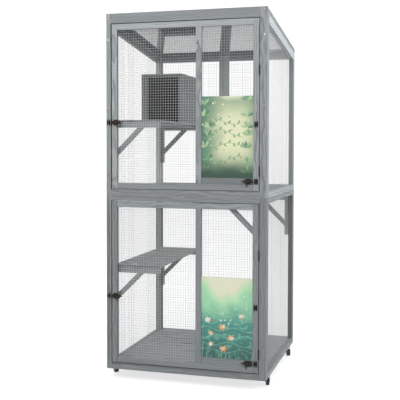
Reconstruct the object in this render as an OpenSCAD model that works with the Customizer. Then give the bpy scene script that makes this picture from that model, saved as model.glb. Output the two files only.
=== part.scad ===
// Two-storey outdoor cat cage: stained timber panels with wire mesh, a sloping roof sheet,
// two doors that each hold a lifting hatch, three shelves, a sleeping box and four casters.
// X runs to the right, Y to the rear and Z up. The origin is on the ground below the middle.

/* [Cage] */
// Width across the two front posts
cage_w = 800; // [760:10:880]
// Depth from the front posts to the rear panels
cage_d = 780; // [720:10:860]
// Height of the timber at the front
front_h = 1745; // [1700:5:1800]
// Height of the timber at the rear, where the roof is lowest
rear_h = 1640; // [1600:5:1690]
// Height of the lower storey
storey_h = 860; // [820:5:890]
// Height of the timber above the ground
caster_h = 50; // [49:1:60]

/* [Timber] */
// Face width of the rails and stiles of panels and doors
rail_w = 28; // [24:1:32]
// Thickness of the side panels
side_t = 23; // [20:1:26]
// Thickness of the front posts, the front rails and the doors
front_t = 18; // [16:1:20]
// Thickness of the rear panels
rear_t = 18; // [16:1:22]
// Width of the front post on the latch side
left_post_w = 23; // [21:1:28]
// Width of the front post on the hinge side
right_post_w = 34; // [26:1:38]
// Height of the lowest rail all round
base_h = 30; // [27:1:36]
// Height of the board over the upper door
fascia_h = 48; // [44:1:60]
// Height of the sloping top rail of a side panel
side_top_h = 37; // [30:1:44]

/* [Roof] */
// Thickness of the roof sheet
sheet_t = 5; // [3:0.5:7]
// Height of the battens that hold the sheet down
batten_h = 23; // [18:1:28]
// Width of the battens that hold the sheet down
batten_w = 22; // [18:1:26]
// Depth of the cleat under the front edge of the sheet
cleat_w = 20; // [14:1:24]

/* [Doors] */
// Gap between a door and the post on its latch side
side_gap = 5; // [3:0.5:7]
// Gap between a door and the post on its hinge side
hinge_gap = 3.5; // [3.5:0.5:6]
// Gap above the upper door and below each door
end_gap = 4; // [3:0.5:6]
// Gap above the lower door
joint_gap = 2.5; // [2:0.5:5]
// Clear width of the hatch in each door
hatch_w = 251; // [230:1:280]
// Height of the lifting panel with its rail
insert_h = 415; // [380:5:440]
// Height of the rail at the foot of the lifting panel
insert_rail_h = 30; // [28:1:36]
// Thickness of the printed board
board_t = 4; // [3:0.5:5]
// Depth of the groove that guides the board on each side
groove_d = 6; // [4:0.5:8]
// Distance from the door's front face to the board
board_back = 6; // [4:0.5:8]
// How far the upper keeper of a hatch is above the lower one
keeper_lift = 266; // [220:1:300]
// Distance from the foot of the upper storey up to the bolt of its door
upper_bolt_h = 355; // [300:5:420]
// Distance from the foot of the lower storey up to the bolt of its door
lower_bolt_h = 363; // [300:5:420]

/* [Hinges] */
// Height of a hinge
hinge_h = 46; // [40:1:60]
// Diameter of the hinge knuckle
knuckle_d = 6; // [5.6:0.1:6.4]
// Diameter of the hinge pin
pin_d = 3; // [2.5:0.1:3.4]
// Thickness of a hinge leaf
leaf_t = 1.2; // [1:0.1:1.4]
// Width of a hinge leaf
leaf_w = 15; // [11:1:16]
// Distance from a door's top to the middle of its upper hinge
hinge_top = 240; // [120:5:300]
// Distance from a door's foot to the middle of its lower hinge
hinge_foot = 90; // [60:5:200]

/* [Barrel bolts] */
// Diameter of a bolt's rod
rod_d = 6; // [5:0.5:7]
// Length of a bolt's plate
bolt_l = 40; // [38:1:42]
// Height of the plates of bolts and keepers
plate_h = 28; // [22:1:28]
// Thickness of the plates of bolts and keepers
plate_t = 1.6; // [1.2:0.1:2]
// Length of each loop that guides the rod
loop_l = 9; // [7:0.5:9]
// Outer diameter of the loops
loop_d = 10; // [9.5:0.5:10.5]
// Distance of the rod's axis from the timber
rod_out = 5.5; // [5.3:0.1:6]
// Length of a keeper's plate
keeper_l = 18; // [16:1:19]
// Gap between a rod and the strap of its keeper
keeper_play = 1; // [0.8:0.1:1.2]
// Thickness of a keeper's strap
keeper_t = 1.5; // [1.2:0.1:1.6]
// How far a rod slides
bolt_travel = 16; // [12:0.5:16]
// Length of the handle below the rod
handle_l = 20; // [14:1:24]

/* [Shelves] */
// Height of the lower shelf above the foot of the timber
lower_shelf_h = 513; // [460:1:560]
// Height of the upper shelf above the foot of the upper storey
upper_shelf_h = 367; // [330:1:380]
// Height of the platform above the foot of the timber
platform_h = 840; // [800:1:850]
// Width of the two shelves on the left
shelf_w = 242; // [240:2:276]
// Width of the platform on the right
platform_w = 346; // [300:2:356]
// Distance of the shelves from the door
shelf_back = 8; // [5:1:12]
// Thickness of the slats on the shelves
slat_t = 9; // [7:1:12]
// Height of the front and rear rails under the slats
shelf_rail_h = 28; // [22:1:30]
// Thickness of the front and rear rails under the slats
shelf_rail_t = 20; // [18:1:24]
// Height of the battens that carry the slats between those rails
slat_batten_h = 12; // [9:1:14]
// Width of the battens that carry the slats between those rails
slat_batten_w = 30; // [20:1:40]
// Width of a slat, before it is fitted to the length it covers
slat_w = 80; // [60:1:100]
// Gap between slats
slat_gap = 2.5; // [2:0.5:4]
// Reach of the brackets under the two shelves
bracket_leg = 157; // [110:1:180]
// Reach of the brackets under the platform
platform_leg = 166; // [140:1:230]
// Width of a bracket's slanting brace
brace_w = 22; // [18:1:26]
// How far the upright of a bracket reaches below its brace
bracket_foot = 28; // [20:1:50]
// Thickness of the timber of a bracket
bracket_t = 20; // [16:1:20]

/* [Floor] */
// Thickness of the floor boards
floor_t = 10; // [8:1:12]
// Width of a floor board, before it is fitted to the depth it covers
floor_board_w = 92; // [70:1:120]
// Gap between floor boards
floor_gap = 1; // [0.6:0.1:2]
// Width of the bearers under the floor
floor_bearer_w = 24; // [20:1:40]

/* [Box] */
// Width of the sleeping box
box_w = 224; // [210:1:232]
// Height of the sleeping box
box_h = 258; // [220:1:280]
// Depth of the sleeping box
box_d = 366; // [300:2:400]
// Thickness of the boards of the box
box_t = 12; // [9:1:15]
// Width of the board left of the box's doorway
box_left = 34; // [24:1:44]
// Width of the board right of the box's doorway
box_right = 16; // [13:1:30]
// Height of the board over the box's doorway
box_over = 18; // [15:1:30]
// Distance of the box from the right end of its shelf
box_margin = 5; // [1:1:8]

/* [Mesh] */
// Distance between the wires that are drawn, each of which stands for four
mesh_pitch = 50.8; // [48:0.2:80]
// Width of a drawn wire
mesh_wire = 2.4; // [2:0.1:4]
// Thickness of the mesh
mesh_t = 1.6; // [1:0.1:2]
// How far the mesh laps over the timber
mesh_lap = 12; // [8:1:13]

/* [Screws] */
// Diameter of a screw's head
head_d = 8; // [7:0.5:10]
// Depth of a screw's head
head_h = 2; // [1.5:0.1:3]
// Diameter of a screw's shank
screw_d = 4; // [3:0.5:4.5]
// Length of a screw
screw_l = 34; // [30:1:40]
// Distance of the end screws from the end of a storey
screw_in = 100; // [60:5:140]

/* [Casters] */
// Diameter of a wheel
wheel_d = 38; // [34:1:38]
// Width of a wheel
wheel_w = 18; // [14:1:20]
// Diameter of a wheel's axle
axle_d = 5; // [4:0.5:6]
// Distance from the swivel's axis to the axle
trail = 12; // [8:1:13]
// Distance of the swivel's axis from the front and rear faces
caster_in = 100; // [80:5:140]
// Diameter of the threaded stem in the timber
stem_d = 8; // [6:0.5:9]
// Length of the threaded stem in the timber
stem_l = 24; // [18:1:26]
// Diameter of the flange and of the fork's head
flange_d = 24; // [22:1:28]
// Thickness of a fork's arms
arm_t = 2; // [1.5:0.1:3]

/* [Hidden] */
$fn = 48;
glue = 0.2;
fit = 0.3;
run = 0.08;
sheet_play = 0.05;
x0 = -cage_w / 2;
x1 = cage_w / 2;
y0 = -cage_d / 2;
y1 = cage_d / 2;
z0 = caster_h;
zj = z0 + storey_h;
z_front = z0 + front_h;
drop = front_h - rear_h;
side_y0 = y0 + front_t;
side_y1 = y1 - rear_t;
inner_x0 = x0 + side_t;
inner_x1 = x1 - side_t;
wall_x0 = inner_x0 + mesh_t + fit;
wall_x1 = inner_x1 - mesh_t - fit;
wall_y1 = side_y1 - mesh_t - fit;
floor_z = z0 + base_h;
opening_x0 = x0 + left_post_w;
opening_x1 = x1 - right_post_w;
door_x0 = opening_x0 + side_gap;
door_x1 = opening_x1 - hinge_gap;
hatch_x1 = door_x1 - rail_w;
hatch_x0 = hatch_x1 - hatch_w;
lower_door_z = [floor_z + end_gap, zj - rail_w - joint_gap];
upper_door_z = [zj + rail_w + end_gap, z_front - fascia_h - end_gap];
lower_insert_z = lower_door_z[0] + rail_w + fit;
upper_insert_z = upper_door_z[0] + rail_w + fit;
panel_drop = batten_h + sheet_t;
upper_bolt_z = zj + upper_bolt_h;
lower_bolt_z = z0 + lower_bolt_h;
axis_y = y0 - 0.43 * knuckle_d;
axis_x = (door_x1 + opening_x1) / 2;
rod_y = y0 - rod_out;
shelf_y0 = side_y0 + shelf_back;
shelf_t = slat_t + shelf_rail_h;
lower_shelf_z = z0 + lower_shelf_h;
upper_shelf_z = zj + upper_shelf_h;
platform_z = z0 + platform_h;
box_x1 = wall_x0 + shelf_w - box_margin;
box_y1 = wall_y1 - 2;
board_x0 = hatch_x0 - groove_d + 0.5;
board_x1 = hatch_x1 + groove_d - 0.5;
keeper_x = hatch_x1 + (rail_w - keeper_l) / 2 + 1;
post_keeper_x = x0 + (left_post_w + keeper_l) / 2;
insert_rail_x0 = hatch_x0 + 1;
insert_rail_x1 = hatch_x1 - 1;
board_y0 = y0 + board_back;
board_y1 = board_y0 + board_t;
peg_d = 5;
rod_tail = bolt_travel - loop_l + 5;
leaf_y0 = axis_y + knuckle_d / 2 + 0.5;
leaf_y1 = min(leaf_y0 + leaf_w, side_y0 - 0.5);
third = hinge_h / 6;
caster_x = (x1 + inner_x1) / 2;
caster_y = cage_d / 2 - caster_in;
caster_fl = [-caster_x, -caster_y, 40];
caster_fr = [caster_x, -caster_y, 10];
caster_rl = [-caster_x, caster_y, 160];
caster_rr = [caster_x, caster_y, 198];
swivel_d = 6;
fork_in = wheel_w / 2 + 0.6;
head_z = z0 - 2.5 - fit;
head_t = 3.5;
post_screw_z = [
    z0 + screw_in,
    z0 + storey_h / 2,
    zj - screw_in,
    zj + screw_in,
    (zj + z_front - panel_drop) / 2,
    z_front - panel_drop - screw_in
];
top_screw_z = z_front - batten_h / 2;
left_screw_x = x0 + batten_w / 2;
right_screw_x = x1 - batten_w / 2 - 3;
base_screw_z = z0 + base_h / 2;
floor_bearer_x = [inner_x0 + 44, 0, inner_x1 - 44];

// Height of the roof's top edge at a distance y from the middle
function roof_z(y) = z_front - drop * (y - y0) / cage_d;

// A bar between its lowest and highest corners
module bar(lo, hi) {
    translate(lo) cube(hi - lo);
}

// An outline in the plane of Y and Z, drawn out along X
module side_outline(xa, xb, points) {
    translate([xa, 0, 0]) rotate([90, 0, 90]) linear_extrude(xb - xa) polygon(points);
}

// An outline in the plane of X and Z, drawn out along Y
module front_outline(ya, yb, points) {
    translate([0, yb, 0]) rotate([90, 0, 0]) linear_extrude(yb - ya) polygon(points);
}

// A bar along the slope of the roof, from over to under below its top edge
module slope_bar(xa, xb, ya, yb, over, under) {
    side_outline(xa, xb, [
        [ya, roof_z(ya) - under], [yb, roof_z(yb) - under],
        [yb, roof_z(yb) - over], [ya, roof_z(ya) - over]
    ]);
}

// An upright bar whose top is cut to the slope of the roof
module slope_post(xa, xb, ya, yb, za, over) {
    side_outline(xa, xb, [
        [ya, za], [yb, za], [yb, roof_z(yb) - over], [ya, roof_z(ya) - over]
    ]);
}

// The upright wires of a net in the plane of u and v, whose top edge runs from height ta to tb
module upright_wires(ua, ub, va, ta, tb) {
    n = ceil((ub - ua - mesh_wire) / mesh_pitch);
    pitch = (ub - ua - mesh_wire) / n;
    slope = (tb - ta) / (ub - ua);
    for (i = [0 : n]) {
        a = ua + i * pitch;
        b = a + mesh_wire;
        polygon([[a, va], [b, va], [b, ta + slope * (b - ua)], [a, ta + slope * (a - ua)]]);
    }
}

// The level wires of the same net, which end short of a sloping top edge, and the wire along it
module level_wires(ua, ub, va, ta, tb) {
    n = ceil((max(ta, tb) - va - mesh_wire) / mesh_pitch);
    pitch = (max(ta, tb) - va - mesh_wire) / n;
    for (j = [0 : n - 1]) {
        a = va + j * pitch;
        share = ta == tb ? 1 : min(1, (a + 3 * mesh_wire - ta) / (tb - ta));
        if (share > 0.02) square_from([ua, a], [ua + share * (ub - ua), a + mesh_wire]);
    }
    polygon([[ua, ta - mesh_wire], [ub, tb - mesh_wire], [ub, tb], [ua, ta]]);
}

// A rectangle between its lowest and highest corners
module square_from(lo, hi) {
    translate(lo) square(hi - lo);
}

// Both layers of a net, from the plane of its outline upwards
module net(ua, ub, va, ta, tb) {
    layer = (mesh_t - glue) / 2;
    linear_extrude(layer) upright_wires(ua, ub, va, ta, tb);
    translate([0, 0, mesh_t - layer]) linear_extrude(layer) level_wires(ua, ub, va, ta, tb);
}

// A net that stands along the depth of the cage, with its left face at x
module side_net(x, ya, yb, za, ta, tb) {
    translate([x, 0, 0]) rotate([90, 0, 90]) net(ya, yb, za, ta, tb);
}

// A net that stands along the width of the cage, with its front face at y
module cross_net(y, xa, xb, za, zb) {
    translate([0, y + mesh_t, 0]) rotate([90, 0, 0]) net(xa, xb, za, zb, zb);
}

// The bore of one screw from the front face: a seat for the head and a hole for the shank
module screw_bore(x, z) {
    translate([x, y0 - 1, z]) rotate([-90, 0, 0]) cylinder(h = head_h + 1, d = head_d + 0.4);
    translate([x, y0, z]) rotate([-90, 0, 0]) cylinder(h = screw_l + 0.5, d = screw_d + 0.2);
}

module screw(x, z) {
    translate([x, y0, z]) rotate([-90, 0, 0]) {
        cylinder(h = head_h, d = head_d);
        cylinder(h = screw_l, d = screw_d);
    }
}

// The bores of the screws in both posts between the heights za and zb
module post_bores(za, zb) {
    for (x = [left_screw_x, right_screw_x], z = post_screw_z) if (z > za && z < zb) screw_bore(x, z);
}

// FRONT FRAMES

module lower_front_frame() {
    color("#8a8e90") difference() {
        union() {
            bar([x0, y0, z0], [opening_x0, side_y0, zj]);
            bar([opening_x1, y0, z0], [x1, side_y0, zj]);
            bar([opening_x0 + glue, y0, z0], [opening_x1 - glue, side_y0, floor_z]);
            bar([opening_x0 + glue, y0, zj - rail_w], [opening_x1 - glue, side_y0, zj]);
        }
        post_bores(z0, zj);
        for (x = floor_bearer_x) screw_bore(x, base_screw_z);
    }
}

module upper_front_frame() {
    color("#8a8e90") difference() {
        union() {
            slope_post(x0, opening_x0, y0, side_y0, zj, panel_drop);
            bar([opening_x1, y0, zj], [x1, side_y0, z_front]);
            bar([opening_x0 + glue, y0, zj], [opening_x1 - glue, side_y0, zj + rail_w]);
            bar([opening_x0 + glue, y0, z_front - fascia_h], [opening_x1 - glue, side_y0, z_front]);
            slope_post(
                wall_x0, wall_x1, side_y0 + glue, side_y0 + cleat_w, z_front - fascia_h, panel_drop
            );
        }
        post_bores(zj, z_front);
        screw_bore(right_screw_x, top_screw_z);
    }
}

// SIDE AND REAR PANELS

module lower_side(xa, xb) {
    difference() {
        union() {
            bar([xa, side_y0, z0], [xb, side_y0 + rail_w, zj]);
            bar([xa, side_y0 + rail_w + glue, z0], [xb, side_y1, floor_z]);
            bar([xa, side_y0 + rail_w + glue, zj - rail_w], [xb, side_y1, zj]);
            bar([xa, side_y1 - rail_w, floor_z + glue], [xb, side_y1, zj - rail_w - glue]);
        }
        post_bores(z0, zj);
        for (y = [-caster_y, caster_y]) {
            translate([(xa + xb) / 2, y, z0 - 1]) cylinder(h = stem_l + 1.5, d = stem_d + 0.1);
        }
    }
}

module upper_side(xa, xb) {
    difference() {
        union() {
            slope_post(xa, xb, side_y0, side_y0 + rail_w, zj, panel_drop);
            bar([xa, side_y0 + rail_w + glue, zj], [xb, side_y1, zj + rail_w]);
            slope_bar(xa, xb, side_y0 + rail_w + glue, side_y1, panel_drop, panel_drop + side_top_h);
            slope_post(
                xa, xb, side_y1 - rail_w, side_y1, zj + rail_w + glue, panel_drop + side_top_h + glue
            );
        }
        post_bores(zj, z_front);
    }
}

module lower_left_panel() {
    color("#868b8e") lower_side(x0, inner_x0);
}

module lower_right_panel() {
    color("#868b8e") lower_side(inner_x1, x1);
}

module upper_left_panel() {
    color("#8f9496") upper_side(x0, inner_x0);
}

module upper_right_panel() {
    color("#8f9496") upper_side(inner_x1, x1);
}

module lower_rear_panel() {
    color("#868b8e") {
        bar([x0, side_y1, z0], [x0 + rail_w, y1, zj]);
        bar([x1 - rail_w, side_y1, z0], [x1, y1, zj]);
        bar([x0 + rail_w + glue, side_y1, z0], [x1 - rail_w - glue, y1, floor_z]);
        bar([x0 + rail_w + glue, side_y1, zj - rail_w], [x1 - rail_w - glue, y1, zj]);
    }
}

// One of the two rear panels of the upper storey
module rear_half(xa, xb) {
    slope_post(xa, xa + rail_w, side_y1, y1, zj, panel_drop);
    slope_post(xb - rail_w, xb, side_y1, y1, zj, panel_drop);
    bar([xa + rail_w + glue, side_y1, zj], [xb - rail_w - glue, y1, zj + rail_w]);
    slope_bar(
        xa + rail_w + glue, xb - rail_w - glue, side_y1, y1, panel_drop, panel_drop + rail_w
    );
}

module upper_rear_panels() {
    color("#8f9496") {
        rear_half(x0, -glue);
        rear_half(glue, x1);
    }
}

// ROOF

module roof_battens() {
    color("#84898b") difference() {
        union() {
            slope_bar(x0, x0 + batten_w, y0, y1, 0, batten_h);
            slope_bar(x1 - batten_w, x1, side_y0, y1, 0, batten_h);
            slope_bar(
                x0 + batten_w + glue, x1 - batten_w - glue, y1 - batten_w, y1, 0, batten_h
            );
        }
        screw_bore(left_screw_x, top_screw_z);
        screw_bore(right_screw_x, top_screw_z);
    }
}

module roof_sheet() {
    color("#aeb2b8") difference() {
        slope_bar(x0, x1, y0, y1, batten_h + sheet_play, panel_drop - sheet_play);
        bar([opening_x0 - fit, y0 - 1, z_front - panel_drop - 9], [x1 + 1, side_y0 + fit, z_front]);
    }
}

// FLOOR

// Boards side by side along Y, fitted to the length from ya to yb
module boards(xa, xb, ya, yb, za, zb, width, gap) {
    n = max(1, round((yb - ya + gap) / (width + gap)));
    w = (yb - ya + gap) / n - gap;
    for (i = [0 : n - 1]) bar([xa, ya + i * (w + gap), za], [xb, ya + i * (w + gap) + w, zb]);
}

module floor_boards() {
    color("#8f9496") boards(
        wall_x0, wall_x1, side_y0 + fit, wall_y1, floor_z - floor_t, floor_z, floor_board_w, floor_gap
    );
}

module floor_bearers() {
    color("#84898b") difference() {
        for (x = floor_bearer_x) {
            bar(
                [x - floor_bearer_w / 2, side_y0, z0],
                [x + floor_bearer_w / 2, side_y1, floor_z - floor_t]
            );
        }
        for (x = floor_bearer_x) screw_bore(x, base_screw_z);
    }
}

// MESH

module lower_side_net(x) {
    side_net(
        x, side_y0 + rail_w - mesh_lap, side_y1 - rail_w + mesh_lap,
        floor_z - floor_t + 1, zj - rail_w + mesh_lap, zj - rail_w + mesh_lap
    );
}

module upper_side_net(x) {
    ya = side_y0 + rail_w - mesh_lap;
    yb = side_y1 - rail_w + mesh_lap;
    under = panel_drop + side_top_h - mesh_lap;
    side_net(x, ya, yb, zj + rail_w - mesh_lap, roof_z(ya) - under, roof_z(yb) - under);
}

module lower_left_mesh() {
    color("#b9bcbd") lower_side_net(inner_x0);
}

module lower_right_mesh() {
    color("#b9bcbd") lower_side_net(inner_x1 - mesh_t);
}

module upper_left_mesh() {
    color("#b9bcbd") upper_side_net(inner_x0);
}

module upper_right_mesh() {
    color("#b9bcbd") upper_side_net(inner_x1 - mesh_t);
}

module lower_rear_mesh() {
    color("#b9bcbd") cross_net(
        side_y1 - mesh_t, wall_x0, wall_x1, floor_z - floor_t + 1, zj - rail_w + mesh_lap
    );
}

module upper_rear_meshes() {
    top = roof_z(y1) - panel_drop - rail_w + mesh_lap;
    color("#b9bcbd") {
        cross_net(side_y1 - mesh_t, wall_x0, -rail_w + mesh_lap, zj + rail_w - mesh_lap, top);
        cross_net(side_y1 - mesh_t, rail_w - mesh_lap, wall_x1, zj + rail_w - mesh_lap, top);
    }
}

// SHELVES

// The two rails under a shelf whose top is at z, and the two battens between them
module shelf_frame(xa, xb, z) {
    za = z - shelf_t;
    zb = z - slat_t;
    ya = shelf_y0 + shelf_rail_t;
    yb = wall_y1 - shelf_rail_t;
    bar([xa, shelf_y0, za], [xb, ya, zb]);
    bar([xa, yb, za], [xb, wall_y1, zb]);
    for (share = [0.25, 0.75]) {
        x = xa + share * (xb - xa);
        bar(
            [x - slat_batten_w / 2, ya + glue, zb - slat_batten_h],
            [x + slat_batten_w / 2, yb - glue, zb]
        );
    }
}

module shelf_slats(xa, xb, z) {
    boards(xa, xb, shelf_y0, wall_y1, z - slat_t, z, slat_w, slat_gap);
}

// A bracket on the wall at xw that reaches out to the side s, under a shelf at height z
module bracket(xw, s, z, leg, y) {
    translate([xw, 0, z]) mirror([s < 0 ? 1 : 0, 0, 0]) {
        bar([0, y, -leg - bracket_foot], [bracket_t, y + bracket_t, 0]);
        front_outline(y, y + bracket_t, [
            [bracket_t + glue, bracket_t + glue - leg],
            [leg, 0],
            [leg - brace_w * sqrt(2), 0],
            [bracket_t + glue, brace_w * sqrt(2) + bracket_t + glue - leg]
        ]);
    }
}

module lower_shelf_frame() {
    color("#868b8e") shelf_frame(wall_x0, wall_x0 + shelf_w, lower_shelf_z);
}

module lower_shelf_slats() {
    color("#979c9e") shelf_slats(wall_x0, wall_x0 + shelf_w, lower_shelf_z);
}

module upper_shelf_frame() {
    color("#868b8e") shelf_frame(wall_x0, wall_x0 + shelf_w, upper_shelf_z);
}

module upper_shelf_slats() {
    color("#979c9e") shelf_slats(wall_x0, wall_x0 + shelf_w, upper_shelf_z);
}

module left_shelf_brackets() {
    color("#84898b") for (z = [lower_shelf_z, upper_shelf_z], y = [shelf_y0, wall_y1 - bracket_t]) {
        bracket(wall_x0, 1, z - shelf_t, bracket_leg, y);
    }
}

module platform_frame() {
    color("#868b8e") shelf_frame(wall_x1 - platform_w, wall_x1, platform_z);
}

module platform_slats() {
    color("#979c9e") shelf_slats(wall_x1 - platform_w, wall_x1, platform_z);
}

module platform_brackets() {
    color("#84898b") for (y = [shelf_y0, wall_y1 - bracket_t]) {
        bracket(wall_x1, -1, platform_z - shelf_t, platform_leg, y);
    }
}

// SLEEPING BOX

module sleeping_box() {
    xa = box_x1 - box_w;
    xb = box_x1;
    ya = box_y1 - box_d;
    yb = box_y1;
    za = upper_shelf_z;
    zb = upper_shelf_z + box_h;
    inside_y = ya + box_t + glue;
    color("#7d8285") {
        bar([xa, inside_y, za], [xa + box_t, yb, zb - box_t - glue]);
        bar([xb - box_t, inside_y, za], [xb, yb, zb - box_t - glue]);
        bar([xa + box_t + glue, yb - box_t, za], [xb - box_t - glue, yb, zb - box_t - glue]);
        bar([xa, inside_y, zb - box_t], [xb, yb, zb]);
        bar([xa, ya, za], [xa + box_left, ya + box_t, zb]);
        bar([xb - box_right, ya, za], [xb, ya + box_t, zb]);
        bar([xa + box_left + glue, ya, zb - box_over], [xb - box_right - glue, ya + box_t, zb]);
    }
}

// SCREWS

module frame_screws() {
    color("#c8a858") {
        for (x = [left_screw_x, right_screw_x], z = post_screw_z) screw(x, z);
        screw(left_screw_x, top_screw_z);
        screw(right_screw_x, top_screw_z);
        for (x = floor_bearer_x) screw(x, base_screw_z);
    }
}

// BARREL BOLTS

// A loop that starts at u and holds the rod of a bolt
module loop(u, l) {
    bar([u, rod_y, -loop_d / 2], [u + l, y0 - plate_t / 2, loop_d / 2]);
    translate([u, rod_y, 0]) rotate([0, 90, 0]) cylinder(h = l, d = loop_d);
}

// The body of a bolt whose rod slides out at x towards the side s
module bolt_body(x, z, s) {
    translate([x, 0, z]) mirror([s < 0 ? 1 : 0, 0, 0]) difference() {
        union() {
            bar([-bolt_l, y0 - plate_t, -plate_h / 2], [0, y0, plate_h / 2]);
            loop(-bolt_l, loop_l);
            loop(-loop_l, loop_l);
        }
        translate([-bolt_l - 1, rod_y, 0]) rotate([0, 90, 0]) {
            cylinder(h = bolt_l + 2, d = rod_d + 2 * run);
        }
    }
}

// The rod of the same bolt with its handle, drawn back
module bolt_rod(x, z, s) {
    translate([x, 0, z]) mirror([s < 0 ? 1 : 0, 0, 0]) {
        translate([-bolt_l - rod_tail, rod_y, 0]) rotate([0, 90, 0]) {
            cylinder(h = bolt_l + rod_tail - 0.5, d = rod_d);
        }
        translate([-bolt_l + loop_l + peg_d / 2 + 0.5, rod_y, -handle_l]) {
            cylinder(h = handle_l, d = peg_d);
            sphere(d = peg_d + 2);
        }
    }
}

// The keeper of a bolt, with its nearest edge at x: a plate with a square strap for the rod
module keeper(x, z, s) {
    out = rod_d / 2 + keeper_play + keeper_t;
    in = rod_d / 2 + keeper_play;
    translate([x, 0, z]) mirror([s < 0 ? 1 : 0, 0, 0]) difference() {
        union() {
            bar([0, y0 - plate_t, -plate_h / 2], [keeper_l, y0, plate_h / 2]);
            bar([1, rod_y - out, -out], [1 + loop_l, y0 - plate_t / 2, out]);
        }
        bar([-1, rod_y - in, -in], [keeper_l + 2, y0 - plate_t, in]);
    }
}

module door_keepers() {
    color("#2a2b2b") for (z = [lower_bolt_z, upper_bolt_z]) keeper(post_keeper_x, z, -1);
}

// HINGES

// The leaf that is screwed to the post, with its two outer knuckles and the pin
module frame_leaf(z) {
    translate([0, 0, z]) {
        translate([axis_x, axis_y, -hinge_h / 2]) cylinder(h = hinge_h, d = pin_d);
        bar([opening_x1 - leaf_t, leaf_y0, -hinge_h / 2], [opening_x1, leaf_y1, hinge_h / 2]);
        for (za = [-hinge_h / 2, third + 0.1]) {
            translate([axis_x, axis_y, za]) cylinder(h = 2 * third - 0.1, d = knuckle_d);
            bar([opening_x1 - leaf_t, axis_y + 1, za], [opening_x1, leaf_y0 + 1, za + 2 * third - 0.1]);
        }
    }
}

// The leaf that is screwed to the door, with its middle knuckle
module door_leaf(z) {
    translate([0, 0, z]) difference() {
        union() {
            bar([door_x1, leaf_y0, -hinge_h / 2], [door_x1 + leaf_t, leaf_y1, hinge_h / 2]);
            translate([axis_x, axis_y, -third + 0.1]) cylinder(h = 2 * third - 0.2, d = knuckle_d);
            bar([door_x1, axis_y + 1, -third + 0.1], [door_x1 + leaf_t, leaf_y0 + 1, third - 0.1]);
        }
        translate([axis_x, axis_y, -third - 1]) cylinder(h = 2 * third + 2, d = pin_d + 2 * run);
    }
}

// The heights of the two hinges of a door
function hinge_z(door_z) = [door_z[0] + hinge_foot, door_z[1] - hinge_top];

module frame_hinges() {
    color("#2e2f2f") {
        for (z = hinge_z(lower_door_z)) frame_leaf(z);
        for (z = hinge_z(upper_door_z)) frame_leaf(z);
    }
}

// DOORS

module door_frame(z) {
    difference() {
        union() {
            bar([door_x0, y0, z[0]], [door_x0 + rail_w, side_y0, z[1]]);
            bar([hatch_x1, y0, z[0]], [door_x1, side_y0, z[1]]);
            bar([door_x0 + rail_w + glue, y0, z[0]], [hatch_x1 - glue, side_y0, z[0] + rail_w]);
            bar([door_x0 + rail_w + glue, y0, z[1] - rail_w], [hatch_x1 - glue, side_y0, z[1]]);
            bar(
                [hatch_x0 - rail_w, y0, z[0] + rail_w + glue],
                [hatch_x0, side_y0, z[1] - rail_w - glue]
            );
        }
        bar(
            [hatch_x0 - groove_d, board_y0 - 0.1, z[0] + rail_w],
            [hatch_x1 + groove_d, board_y1 + 0.1, z[1] - rail_w]
        );
    }
}

// The two nets of a door, the right one only above the hatch whose foot is at hatch_z
module door_mesh(z, hatch_z) {
    cross_net(
        side_y0, door_x0 + rail_w - mesh_lap, hatch_x0 - rail_w + mesh_lap,
        z[0] + rail_w - mesh_lap, z[1] - rail_w + mesh_lap
    );
    cross_net(
        side_y0, hatch_x0 - mesh_lap, hatch_x1 + mesh_lap,
        hatch_z + insert_h - 20, z[1] - rail_w + mesh_lap
    );
}

// Both keepers of a hatch: the lower one holds it shut and the upper one holds it up
module hatch_keepers(hatch_z) {
    for (lift = [0, keeper_lift]) keeper(keeper_x, hatch_z + insert_rail_h / 2 + lift, 1);
}

module upper_door_frame() {
    color("#9a9fa1") door_frame(upper_door_z);
}

module upper_door_mesh() {
    color("#b9bcbd") door_mesh(upper_door_z, upper_insert_z);
}

module upper_door_hinges() {
    color("#2e2f2f") for (z = hinge_z(upper_door_z)) door_leaf(z);
}

module upper_door_bolt() {
    color("#2a2b2b") bolt_body(door_x0 + 1, upper_bolt_z, -1);
}

module upper_door_rod() {
    color("#3a3836") bolt_rod(door_x0 + 1, upper_bolt_z, -1);
}

module upper_hatch_keepers() {
    color("#2a2b2b") hatch_keepers(upper_insert_z);
}

module lower_door_frame() {
    color("#9a9fa1") door_frame(lower_door_z);
}

module lower_door_mesh() {
    color("#b9bcbd") door_mesh(lower_door_z, lower_insert_z);
}

module lower_door_hinges() {
    color("#2e2f2f") for (z = hinge_z(lower_door_z)) door_leaf(z);
}

module lower_door_bolt() {
    color("#2a2b2b") bolt_body(door_x0 + 1, lower_bolt_z, -1);
}

module lower_door_rod() {
    color("#3a3836") bolt_rod(door_x0 + 1, lower_bolt_z, -1);
}

module lower_hatch_keepers() {
    color("#2a2b2b") hatch_keepers(lower_insert_z);
}

// HATCHES

module hatch_board(z) {
    bar([board_x0, board_y0, z + insert_rail_h - 5], [board_x1, board_y1, z + insert_h]);
}

module hatch_rail(z) {
    difference() {
        bar([insert_rail_x0, y0, z], [insert_rail_x1, side_y0 - 1, z + insert_rail_h]);
        bar(
            [insert_rail_x0 - 1, board_y0, z + insert_rail_h - 5],
            [insert_rail_x1 + 1, board_y1, z + insert_rail_h + 1]
        );
    }
}

module upper_hatch_board() {
    color("#a9cfa0") hatch_board(upper_insert_z);
}

module upper_hatch_rail() {
    color("#979c9e") hatch_rail(upper_insert_z);
}

module upper_hatch_bolt() {
    color("#2a2b2b") bolt_body(insert_rail_x1, upper_insert_z + insert_rail_h / 2, 1);
}

module upper_hatch_rod() {
    color("#3a3836") bolt_rod(insert_rail_x1, upper_insert_z + insert_rail_h / 2, 1);
}

module lower_hatch_board() {
    color("#5f9d8f") hatch_board(lower_insert_z);
}

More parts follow.
